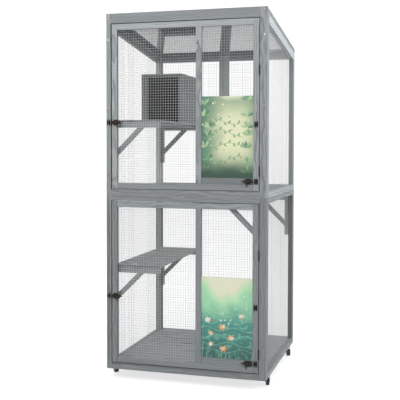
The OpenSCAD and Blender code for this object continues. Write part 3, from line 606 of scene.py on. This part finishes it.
def makeNet(name, wire, side, corners, seed, topCut=None):
    # side: the place of the net's front and the way to its back; corners: two of them in its plane
    face, behind = side[0], Vector(side[1])
    thin = 0 if behind.x else 1
    level = Vector((0, 1, 0)) if thin == 0 else Vector((1, 0, 0))
    upward = Vector((0, 0, 1))
    lo, hi = [level * across + upward * up for across, up in corners]
    radius = wire / 2
    wide, tall = (hi - lo).dot(level), hi.z - lo.z
    layers = []
    for direction, length, other, span, depth in ((upward, tall, level, wide, radius),
                                                  (level, wide, upward, tall, 3 * radius)):
        count = int((span - 2 * radius) / netLook["square"]) + 1
        margin = (span - (count - 1) * netLook["square"]) / 2
        start = lo + other * margin
        start[thin] = face + behind[thin] * depth
        end, step = start + direction * length, other * netLook["square"]
        layers.append(repeatWire(start, end, step, count, radius))
    net = joinAll(layers, name)
    if topCut:
        makeActive(net)
        bpy.ops.object.mode_set(mode="EDIT")
        bpy.ops.mesh.select_all(action="SELECT")
        bpy.ops.mesh.bisect(plane_co=topCut[0], plane_no=topCut[1], use_fill=True, clear_outer=True)
        bpy.ops.object.mode_set(mode="OBJECT")
    # slightly uneven, each net in its own way
    coarse, fine = netLook["coarse"], netLook["fine"]
    shift = Vector([seed * step for step in netLook["apart"]] + [0])
    for point in net.data.vertices:
        x, y, z = point.co + shift
        out = noise.noise(Vector((x, y, z)) * coarse) * netLook["ripple"]
        along = noise.noise(Vector((x * fine, y * fine, z * coarse + 40))) * netLook["sway"]
        up = noise.noise(Vector((x * coarse, y * coarse + 70, z * fine))) * netLook["sway"]
        point.co += behind * abs(out) * netLook["rippleShare"] + level * along + Vector((0, 0, up))
    return net


# the upper side nets end in the sloping rails, which fall 105 mm over the depth of 780 mm
roofSlope, halfDepth = -105 / 780, 0.39
frontHeight, plateHeight, railHeight, netLap = 1.795, 0.028, 0.037, 0.012
netTop = frontHeight - plateHeight - railHeight + netLap
roofCut = (Vector((0, 0, netTop + roofSlope * halfDepth)), Vector((0, -roofSlope, 1)).normalized())

# all places in metres
leftSide, rightSide = (-0.377, (1, 0, 0)), (0.377, (-1, 0, 0))
rearSide, doorSide = (0.372, (0, -1, 0)), (-0.372, (0, 1, 0))
lowerPanel, upperPanel = ((-0.356, 0.071), (0.356, 0.894)), ((-0.356, 0.926), (0.356, 1.7374))
netPlaces = {
    # node: (body, side, across and up of the lowest and highest corner of each net, wire, cut)
    "lower_left_mesh": ("cage", leftSide, [lowerPanel], shadedWire, None),
    "lower_right_mesh": ("cage", rightSide, [lowerPanel], galvanised, None),
    "lower_rear_mesh": ("cage", rearSide, [((-0.375, 0.071), (0.375, 0.894))], galvanised, None),
    "upper_left_mesh": ("cage", leftSide, [upperPanel], shadedWire, roofCut),
    "upper_right_mesh": ("cage", rightSide, [upperPanel], litWire, roofCut),
    "upper_rear_meshes": ("cage", rearSide, [((-0.375, 0.926), (-0.016, 1.646)),
                                             ((0.016, 0.926), (0.375, 1.646))], galvanised, None),
    "upper_door_mesh": ("upper_door", doorSide, [((-0.356, 0.958), (0.067, 1.727)),
                                                 ((0.072, 1.366), (0.3465, 1.727))], galvanised, None),
    "lower_door_mesh": ("lower_door", doorSide, [((-0.356, 0.1), (0.067, 0.8635)),
                                                 ((0.072, 0.508), (0.3465, 0.8635))], galvanised, None),
}
for seed, (node, (body, side, places, steel, cut)) in enumerate(netPlaces.items()):
    wire = netLook["wire" if body == "cage" else "doorWire"]
    made = [makeNet(f"{node}_{number}", wire, side, corners, seed * 3 + number, cut)
            for number, corners in enumerate(places)]
    net = joinAll(made, "wire_" + node)
    bpy.ops.object.shade_smooth_by_angle(angle=math.radians(80))
    net.data.materials.append(steel)
    placePiece(net, body, "mesh", node)
print("nets made")


# screws: one countersunk head with a cross recess, copied to its places

screwLook = {
    "headWidth": 0.008,
    "headHeight": 0.0016,
    "sides": 24,
    "taper": 0.55,        # width of the underside against the rim
    "rim": 0.1,           # this and the next two as shares of the head's width
    "slotLength": 0.52,
    "slotWidth": 0.13,
    "slotDepth": 0.0011,
    "slotTaper": 0.6,
    "slotTurn": 20,
    "dome": 0.0002,
    "frameWidth": 0.0078,
    "framePlace": -0.3901,   # just before the front of the frame
}


def makeScrewHead():
    # the head's middle lies at the origin and it faces -Y
    look = screwLook
    width, height = look["headWidth"], look["headHeight"]
    bpy.ops.object.select_all(action="DESELECT")
    bpy.ops.mesh.primitive_cylinder_add(vertices=look["sides"], radius=width / 2, depth=height,
                                        location=(0, height / 2, 0), rotation=(math.radians(90), 0, 0))
    head = bpy.context.object
    applyPlace(head)
    pickFaces(head, lambda middle, normal: normal.y > 0.9)
    bpy.ops.transform.resize(value=(look["taper"], 1, look["taper"]))
    pickFaces(head, lambda middle, normal: normal.y < -0.9)
    bpy.ops.mesh.inset(thickness=width * look["rim"])
    bpy.ops.transform.translate(value=(0, -look["dome"], 0))
    bpy.ops.object.mode_set(mode="OBJECT")
    for turn in (0, 90):
        bpy.ops.object.select_all(action="DESELECT")
        bpy.ops.mesh.primitive_cube_add(size=1, location=(0, 0, 0), scale=(
            width * look["slotLength"], look["slotDepth"] * 2, width * look["slotWidth"]))
        cutter = bpy.context.object
        cutter.rotation_euler = (0, math.radians(turn + look["slotTurn"]), 0)
        applyPlace(cutter)
        pickFaces(cutter, lambda middle, normal: normal.y > 0.9)
        bpy.ops.transform.resize(value=(look["slotTaper"], 1, look["slotTaper"]))
        bpy.ops.object.mode_set(mode="OBJECT")
        addModifier(head, "BOOLEAN", operation="DIFFERENCE", object=cutter, solver="EXACT")
        bpy.data.objects.remove(cutter)
    makeActive(head)
    bpy.ops.object.shade_smooth_by_angle(angle=math.radians(30))
    return head


screwHead = makeScrewHead()


def putScrews(name, places, width, seed):
    # copies of the head, each turned a little differently, joined to one piece
    dice = random.Random(seed)
    size = width / screwLook["headWidth"]
    made = []
    for place in places:
        copy = newObject(name, screwHead.data.copy())
        turned = Matrix.Rotation(dice.uniform(0, math.pi), 4, "Y")
        copy.matrix_world = Matrix.Translation(place) @ turned @ Matrix.Diagonal((size, size, size, 1))
        applyPlace(copy)
        made.append(copy)
    return joinAll(made, name)


screwRows = [
    # x, heights and finish of the screws in the two posts, then those in the bottom board; the finishes
    # are one brass, painted lighter or darker as painted light and shade
    ((-0.389, 0.386), (1.667,), brass),
    ((-0.389, 0.386), (1.3385, 1.7835), brassHalfShaded),
    ((-0.389, 0.386), (0.15, 0.48, 0.81, 1.01), dullBrass),
    ((-0.333, 0, 0.333), (0.065,), brownBrass),
]
screwGroups = []
for number, (across, heights, finish) in enumerate(screwRows):
    places = [(x, screwLook["framePlace"], z) for x in across for z in heights]
    group = putScrews("frame_screws_row", places, screwLook["frameWidth"], 5 + number)
    group.data.materials.append(finish)
    screwGroups.append(group)
placePiece(joinAll(screwGroups, "frame_screw_heads"), "cage", "brass", "frame_screws")
print("screws made")


# barrel bolts, keepers and hinges

boltLook = {
    "cornerRound": 0.0035,
    "edgeRound": 0.0004,
    "rodRound": 0.0003,
    "hingeRound": 0.00025,
    "frameFront": -0.39,
    "plateThickness": 0.0016,
    "screwWidth": 0.0052,
    "screwRise": 0.0105,     # of the screws above and below the rod
    "doorHeights": {"upper": 1.265, "lower": 0.413},
    "hatchHeights": {"upper": 0.9853, "lower": 0.1273},
    "keeperLift": 0.266,
    "doorScrews": (-0.3665, -0.3355),
    "hatchScrews": (0.298, 0.329),
    "keeperScrews": (0.3495,),
    "postScrews": (-0.3885,),
}


def roundPlate(piece):
    # rounds the corners of the plates: their edges along Y, as long as the plate is thick
    def isCorner(a, b):
        level = abs(a.x - b.x) < 0.0001 and abs(a.z - b.z) < 0.0001
        return abs(abs(a.y - b.y) - boltLook["plateThickness"]) < 0.0001 and level

    pickEdges(piece, isCorner)
    bpy.ops.mesh.bevel(offset=boltLook["cornerRound"], segments=4)
    bpy.ops.object.mode_set(mode="OBJECT")


def makeHardware(node, name, body, across, heights, screwShading):
    # a plate with two screws over each other at every place across and at every height
    piece = copyNode(node, name)
    roundPlate(piece)
    softenEdges(piece, boltLook["edgeRound"], angle=30)
    piece.data.materials.append(blackCoat)
    placePiece(piece, body, "black_metal", node)
    plateFront = boltLook["frameFront"] - boltLook["plateThickness"]
    rises = (-boltLook["screwRise"], boltLook["screwRise"])
    places = [(x, plateFront, z + rise) for x in across for z in heights for rise in rises]
    heads = putScrews(name + "_screws", places, boltLook["screwWidth"], len(name))
    heads.data.materials.append(screwShading)
    placePiece(heads, body, "brass")


for storey in ("upper", "lower"):
    makeHardware(storey + "_door_bolt", storey + "_door_bolt_body", storey + "_door",
                 boltLook["doorScrews"], [boltLook["doorHeights"][storey]], brassHalfShaded)
    z = boltLook["hatchHeights"][storey]
    makeHardware(storey + "_hatch_bolt", storey + "_hatch_bolt_body", storey + "_hatch",
                 boltLook["hatchScrews"], [z], dullBrass)
    makeHardware(storey + "_hatch_keepers", storey + "_hatch_keeper_plates", storey + "_door",
                 boltLook["keeperScrews"], [z, z + boltLook["keeperLift"]], dullBrass)
    for kind in ("door", "hatch"):
        node = f"{storey}_{kind}_rod"
        rod = copyNode(node, node + "_bronze")
        softenEdges(rod, boltLook["rodRound"], angle=40)
        rod.data.materials.append(bronzed)
        placePiece(rod, f"{storey}_{kind}_latch", "bronze", node)
makeHardware("door_keepers", "post_keeper_plates", "cage",
             boltLook["postScrews"], boltLook["doorHeights"].values(), brassHalfShaded)
hinges = {"frame_hinges": "cage", "upper_door_hinges": "upper_door", "lower_door_hinges": "lower_door"}
for node, body in hinges.items():
    hinge = copyNode(node, node + "_black")
    softenEdges(hinge, boltLook["hingeRound"], angle=30)
    hinge.data.materials.append(blackCoat)
    placePiece(hinge, body, "black_metal", node)
print("bolts, keepers and hinges made")


# casters

casterLook = {
    "stemRound": 0.0004,
    "forkRound": 0.0003,
    "wheelRound": 0.0008,
    "width": 0.018,
    "radius": 0.019,
    "sides": 40,
    "hub": 0.011,
    "hubSlant": 0.0006,
    "dish": 0.0028,
    "boss": 0.0052,
    "bossSlant": 0.0004,
    "bossRise": 0.0003,
    "bore": 0.00258,
    "trail": 0.012,      # from the stem back to the axle
    "across": 0.3885,
    "along": 0.29,
    # corner: (side across, side along, turn at rest)
    "corners": {"fl": (-1, -1, 40), "fr": (1, -1, 10), "rl": (-1, 1, 160), "rr": (1, 1, 198)},
}
stems = copyNode("caster_stems", "caster_stem_steel")
softenEdges(stems, casterLook["stemRound"])
stems.data.materials.append(zinc)
placePiece(stems, "cage", "zinc", "caster_stems")


def makeWheel():
    # a moulded wheel about the X axis: tread, dished sides, a boss and a bore
    look = casterLook
    bpy.ops.object.select_all(action="DESELECT")
    bpy.ops.mesh.primitive_cylinder_add(vertices=look["sides"], radius=look["radius"],
                                        depth=look["width"], rotation=(0, math.radians(90), 0))
    wheel = bpy.context.object
    applyPlace(wheel)
    # how far each ring of the side lies inside the last one, and how far out from it
    hub, boss = look["hub"], look["boss"]
    steps = ((look["radius"] - hub, 0), (look["hubSlant"], -look["dish"]),
             (hub - boss - look["hubSlant"], 0), (look["bossSlant"], look["dish"] + look["bossRise"]),
             (boss - look["bossSlant"] - look["bore"], 0))
    for side in (-1, 1):
        pickFaces(wheel, lambda middle, normal: normal.x * side > 0.9)
        for thickness, out in steps:
            bpy.ops.mesh.inset(thickness=thickness)
            bpy.ops.transform.translate(value=(side * out, 0, 0))
        bpy.ops.object.mode_set(mode="OBJECT")

    def isMiddle(middle, normal):
        return abs(normal.x) > 0.9 and math.hypot(middle.y, middle.z) < 0.0001

    # the two round faces about the axis become the bore
    pickFaces(wheel, isMiddle)
    bpy.ops.mesh.bridge_edge_loops()
    bpy.ops.object.mode_set(mode="OBJECT")
    softenEdges(wheel, look["wheelRound"], angle=40)
    return wheel


wheelShape = makeWheel()
for corner, (sideX, sideY, turn) in casterLook["corners"].items():
    fork = copyNode("caster_fork_" + corner, "caster_fork_steel_" + corner)
    softenEdges(fork, casterLook["forkRound"])
    fork.data.materials.append(zinc)
    placePiece(fork, "caster_" + corner, "zinc", "caster_fork_" + corner)
    wheel = newObject("caster_wheel_nylon_" + corner, wheelShape.data.copy())
    stem = Matrix.Translation((sideX * casterLook["across"], sideY * casterLook["along"], 0))
    axle = Matrix.Translation((0, casterLook["trail"], casterLook["radius"]))
    wheel.matrix_world = stem @ Matrix.Rotation(math.radians(turn), 4, "Z") @ axle
    applyPlace(wheel)
    wheel.data.materials.append(nylon)
    placePiece(wheel, "wheel_" + corner, "wheel", "caster_wheel_" + corner)
bpy.data.objects.remove(wheelShape)
bpy.data.objects.remove(screwHead)
print("casters made")


# printed boards: a fine grid whose points take the ink's colour from a drawing in formulas

boardLook = {
    "front": (0.078, -0.384),   # left edge and front
    "back": (0.34, -0.38),      # right edge and back
    "foot": {"upper": 0.9953, "lower": 0.1373},
    "height": 0.39,
    "dot": 0.0015,
    # the lower board's ink is lighter than the upper's: painted light, against the weaker light low
    # down
    "gain": {"upper": 1.2, "lower": 1.48},
    "brightest": 0.9,
}


def soft(low, high, value):
    share = np.clip((value - low) / (high - low), 0, 1)
    return share * share * (3 - 2 * share)


def lay(ink, mask, hexColour, strength=1.0):
    # lays one flat ink over the picture where the mask is
    amount = (np.clip(mask, 0, 1) * strength)[:, None]
    return ink * (1 - amount) + np.array(linear(hexColour)[:3]) * amount


def ground(u, hexColour):
    return np.tile(np.array(linear(hexColour)[:3]), (len(u), 1))


def leafMask(u, v, centre, angle, long, wide, blur):
    # a pointed leaf about its centre
    c, s = math.cos(angle), math.sin(angle)
    a, b = (u - centre[0]) * c + (v - centre[1]) * s, -(u - centre[0]) * s + (v - centre[1]) * c
    edge = wide / 2 * np.clip(1 - (2 * a / long) ** 2, 0, 1)
    return soft(-blur, blur, edge - abs(b)) * (abs(a) < long / 2)


def discMask(u, v, centre, radius, blur):
    return soft(radius + blur, radius - blur, np.hypot(u - centre[0], v - centre[1]))


def clouds(u, v, scale, seed):
    return np.array([noise.noise(Vector((a * scale, b * scale, seed))) for a, b in zip(u, v)])


def paintUpper(u, v):
    # u runs over the width and v over the height, both in metres
    axis = 0.132   # the leaves mirror each other about it
    mist = clouds(u, v, 14, 3.0)
    middle = soft(0.16, 0.03, abs(u - 0.165) + mist * 0.03) * soft(-0.02, 0.17, v) * soft(0.46, 0.24, v)
    top = soft(0.36, 0.39, v + mist * 0.02) * soft(0.09, 0.02, abs(u - 0.15))
    ink = ground(u, "#44735a")
    ink = lay(ink, soft(-0.3, 0.6, mist), "#6c9479", 0.6)
    ink = lay(ink, middle, "#e6e8c0", 0.88)
    ink = lay(ink, top, "#eef0d8", 0.7)
    dice = random.Random(21)
    # fans of five leaves up both sides
    for row in range(7):
        for side in (-1, 1):
            aside, lift = dice.uniform(-0.014, 0.014), dice.uniform(-0.012, 0.012)
            centre = (axis + side * 0.098 + aside, 0.03 + row * 0.055 + lift)
            for leaf in range(5):
                angle = math.radians(90 + side * (-70 + leaf * 34) + dice.uniform(-9, 9))
                tip = (centre[0] + math.cos(angle) * 0.018, centre[1] + math.sin(angle) * 0.018)
                shade = dice.choice(("#5c8a68", "#86a884", "#2f6049", "#a3bd92"))
                ink = lay(ink, leafMask(u, v, tip, angle, 0.034, 0.0125, 0.0009), shade, 0.9)
                ink = lay(ink, leafMask(u, v, tip, angle, 0.032, 0.0016, 0.0008), "#d9ebc2", 0.5)
    # small light spots
    for _ in range(26):
        centre = (axis + dice.gauss(0, 0.05), dice.uniform(0.02, 0.37))
        radius = dice.uniform(0.002, 0.0045)
        shade = dice.choice(("#f3edd2", "#e9e2bd", "#c98a5a"))
        ink = lay(ink, discMask(u, v, centre, radius, 0.001), shade, 0.85)
    ink = lay(ink, soft(0.1, 0.015, v - mist * 0.03), "#1b3d31", 0.92)
    # twigs across the middle, with leaves by turns above and below
    for arc in range(4):
        height = 0.09 + arc * 0.062
        line = v - height - 0.018 * np.sin((u - axis) * 24 + arc * 1.3)
        twig = soft(0.0019, 0.0009, abs(line)) * soft(0.085, 0.06, abs(u - axis))
        ink = lay(ink, twig, "#7a9a76", 0.8)
        for leaf in range(6):
            at = axis + (leaf - 2.5) * 0.022
            up = height + 0.018 * math.sin((at - axis) * 24 + arc * 1.3)
            angle, aside = (math.radians(60), 0.008) if leaf % 2 else (math.radians(-50), -0.008)
            ink = lay(ink, leafMask(u, v, (at, up + aside), angle, 0.02, 0.008, 0.0008), "#6f936f", 0.9)
    return ink


def paintLower(u, v):
    mist = clouds(u, v, 16, 8.0)
    fine = clouds(u, v, 55, 5.0)
    tall = v + mist * 0.03
    ink = ground(u, "#24504c")
    ink = lay(ink, soft(0.02, 0.17, tall), "#3f8176", 1)
    ink = lay(ink, soft(0.15, 0.29, tall), "#8dc09a", 1)
    ink = lay(ink, soft(0.27, 0.40, tall + 0.05 * np.cos((u - 0.12) * 20)), "#d5e8b6", 1)
    ink = lay(ink, soft(0.1, 0.5, fine), "#9ccfae", 0.25)
    dice = random.Random(44)
    # ribbons of water, one over the other
    for band in range(6):
        height = 0.035 + band * 0.034
        line = v - height - 0.009 * np.sin(u * (38 + band * 3) + band * 2.1)
        shade = ("#2c625c", "#3b7a70", "#5c9c88")[band % 3]
        ink = lay(ink, soft(0.0085, 0.001, abs(line)), shade, 0.55)
        ink = lay(ink, soft(0.0016, 0.0005, abs(line - 0.006)), "#a9d3b4", 0.45)
    # round blossoms on the water
    for blossom in range(7):
        centre = (dice.uniform(0.03, 0.235), 0.05 + blossom * 0.026 + dice.uniform(-0.006, 0.006))
        size = dice.uniform(0.011, 0.017)
        for petal in range(6):
            angle = petal * math.pi / 3 + blossom
            tip = (centre[0] + math.cos(angle) * size * 0.55, centre[1] + math.sin(angle) * size * 0.4)
            shade = dice.choice(("#e8905c", "#f0b184", "#f5e3c8"))
            ink = lay(ink, leafMask(u, v, tip, angle, size * 1.3, size * 0.62, 0.0009), shade, 0.92)
        ink = lay(ink, discMask(u, v, centre, size * 0.22, 0.0008), "#f6ecc8", 0.95)
    # upright blades of grass from the foot
    for blade in range(16):
        foot = 0.012 + blade * 0.0162 + dice.uniform(-0.004, 0.004)
        height = dice.uniform(0.05, 0.12) * (1.5 if blade in (2, 3, 11, 12, 13) else 1)
        lean = dice.uniform(-0.016, 0.016)
        middle = foot + lean * np.clip(v / height, 0, 1) ** 2
        width = 0.0034 * np.clip(1 - v / height, 0, 1)
        shade = dice.choice(("#3a7365", "#28594f", "#64957a"))
        ink = lay(ink, soft(-0.0007, 0.0007, width - abs(u - middle)) * (v < height), shade, 0.8)
    # bubbles
    for _ in range(22):
        centre = (dice.uniform(0.02, 0.245), dice.uniform(0.16, 0.37))
        size = dice.uniform(0.0016, 0.0042)
        ink = lay(ink, discMask(u, v, centre, size, 0.0009), "#e4f3e4", 0.6)
    return ink


def makeBoard(storey, paint):
    look = boardLook
    foot = look["foot"][storey]
    lo, hi = Vector((*look["front"], foot)), Vector((*look["back"], foot + look["height"]))
    wide, tall = hi.x - lo.x, look["height"]
    bpy.ops.object.select_all(action="DESELECT")
    bpy.ops.mesh.primitive_grid_add(x_subdivisions=round(wide / look["dot"]),
                                    y_subdivisions=round(tall / look["dot"]), size=1,
                                    location=((lo.x + hi.x) / 2, lo.y, (lo.z + hi.z) / 2),
                                    rotation=(math.radians(90), 0, 0))
    board = bpy.context.object
    board.name = storey + "_hatch_board_printed"
    board.scale = (wide, tall, 1)
    applyPlace(board)
    makeActive(board)
    bpy.ops.object.mode_set(mode="EDIT")
    bpy.ops.mesh.select_mode(type="EDGE")
    bpy.ops.mesh.select_all(action="DESELECT")
    bpy.ops.mesh.select_non_manifold()
    bpy.ops.mesh.extrude_edges_move(TRANSFORM_OT_translate={"value": (0, hi.y - lo.y, 0)})
    bpy.ops.mesh.edge_face_add()
    bpy.ops.mesh.select_all(action="SELECT")
    bpy.ops.mesh.normals_make_consistent(inside=False)
    bpy.ops.object.mode_set(mode="OBJECT")
    mesh = board.data
    points = meshPoints(mesh)
    ink = np.ones((len(points), 4))
    picture = paint(points[:, 0] - lo.x, points[:, 2] - lo.z) * look["gain"][storey]
    ink[:, :3] = np.clip(picture, 0, look["brightest"])
    mesh.attributes.new("ink", "FLOAT_COLOR", "POINT").data.foreach_set("color", ink.ravel())
    mesh.materials.append(printed)
    mesh.materials.append(hardboard)
    for face in mesh.polygons:
        face.material_index = 0 if face.normal.y < -0.5 else 1
    return board


for storey, paint in (("upper", paintUpper), ("lower", paintLower)):
    board = makeBoard(storey, paint)
    placePiece(board, storey + "_hatch", "print_" + storey, storey + "_hatch_board")
print("printed boards made")


# floor, world and lights

stageLook = {
    "floorSize": 40,
    "floorShade": "#bfc0c1",
    # the glow is weaker near the cage than farther off: painted shade on the floor round the cage
    "glow": (0.71, 0.78),       # light that only the camera sees, so that the lit floor is white,
    "glowReach": (0.9, 2.4),    # near the cage and farther off
    "worldLight": 0.5,
    "worldSeen": 1.12,          # over white, as in a bright studio: thin wires fade in front of it
}
white = (1, 1, 1, 1)
bpy.ops.object.select_all(action="DESELECT")
bpy.ops.mesh.primitive_plane_add(size=stageLook["floorSize"], location=(0, 0, 0))
floor = bpy.context.object
floor.name = "studio_floor"
floorMaterial, tree = startMaterial("studio floor, painted")
rays = addNode(tree, "LightPath").outputs
seen = calculate(tree, "MAXIMUM", rays["Is Camera Ray"], rays["Is Glossy Ray"])
floorPlace = addNode(tree, "TexCoord").outputs["Object"]
away = addNode(tree, "VectorMath", {"operation": "LENGTH"}, {0: floorPlace}).outputs["Value"]
glow = spread(tree, away, *stageLook["glowReach"], *stageLook["glow"])
glow = calculate(tree, "MULTIPLY", seen, glow)
paintShader = addNode(tree, "BsdfDiffuse", {"Color": linear(stageLook["floorShade"])})
glowShader = addNode(tree, "Emission", {"Color": white}, {"Strength": glow})
bothShaders = addNode(tree, "AddShader", None, {0: paintShader.outputs[0], 1: glowShader.outputs[0]})
endMaterial(tree, bothShaders)
floor.data.materials.append(floorMaterial)

world = bpy.data.worlds.new("studio")
bpy.context.scene.world = world
world.use_nodes = True
tree = world.node_tree
tree.nodes.clear()
rays = addNode(tree, "LightPath").outputs
seen = calculate(tree, "MAXIMUM", rays["Is Glossy Ray"], rays["Is Transmission Ray"])
strength = spread(tree, seen, 0, 1, stageLook["worldLight"], 1)
strength = addNode(tree, "MapRange", {"To Max": stageLook["worldSeen"]},
                   {"Value": rays["Is Camera Ray"], "To Min": strength}).outputs[0]
background = addNode(tree, "Background", {"Color": white}, {"Strength": strength})
addNode(tree, "OutputWorld", None, {"Surface": background.outputs[0]})

lamps = {
    # name: (place, where it shines, size, power in watts)
    "frontTop": ((-0.7, -2.7, 2.5), (0, -0.3, 1.2), 1.3, 26),
    "rightSide": ((3.0, -0.4, 2.0), (0.4, 0, 1.0), 1.6, 42),
    "overhead": ((0.2, -1.6, 4.2), (0, 0, 0.9), 4.6, 52),
}
for name, (place, target, size, power) in lamps.items():
    bpy.ops.object.light_add(type="AREA", location=place)
    lamp = bpy.context.object
    lamp.name = name
    lamp.data.size = size
    lamp.data.energy = power
    lamp.rotation_euler = (Vector(target) - Vector(place)).to_track_quat("-Z", "Y").to_euler()
print("stage and lights made")
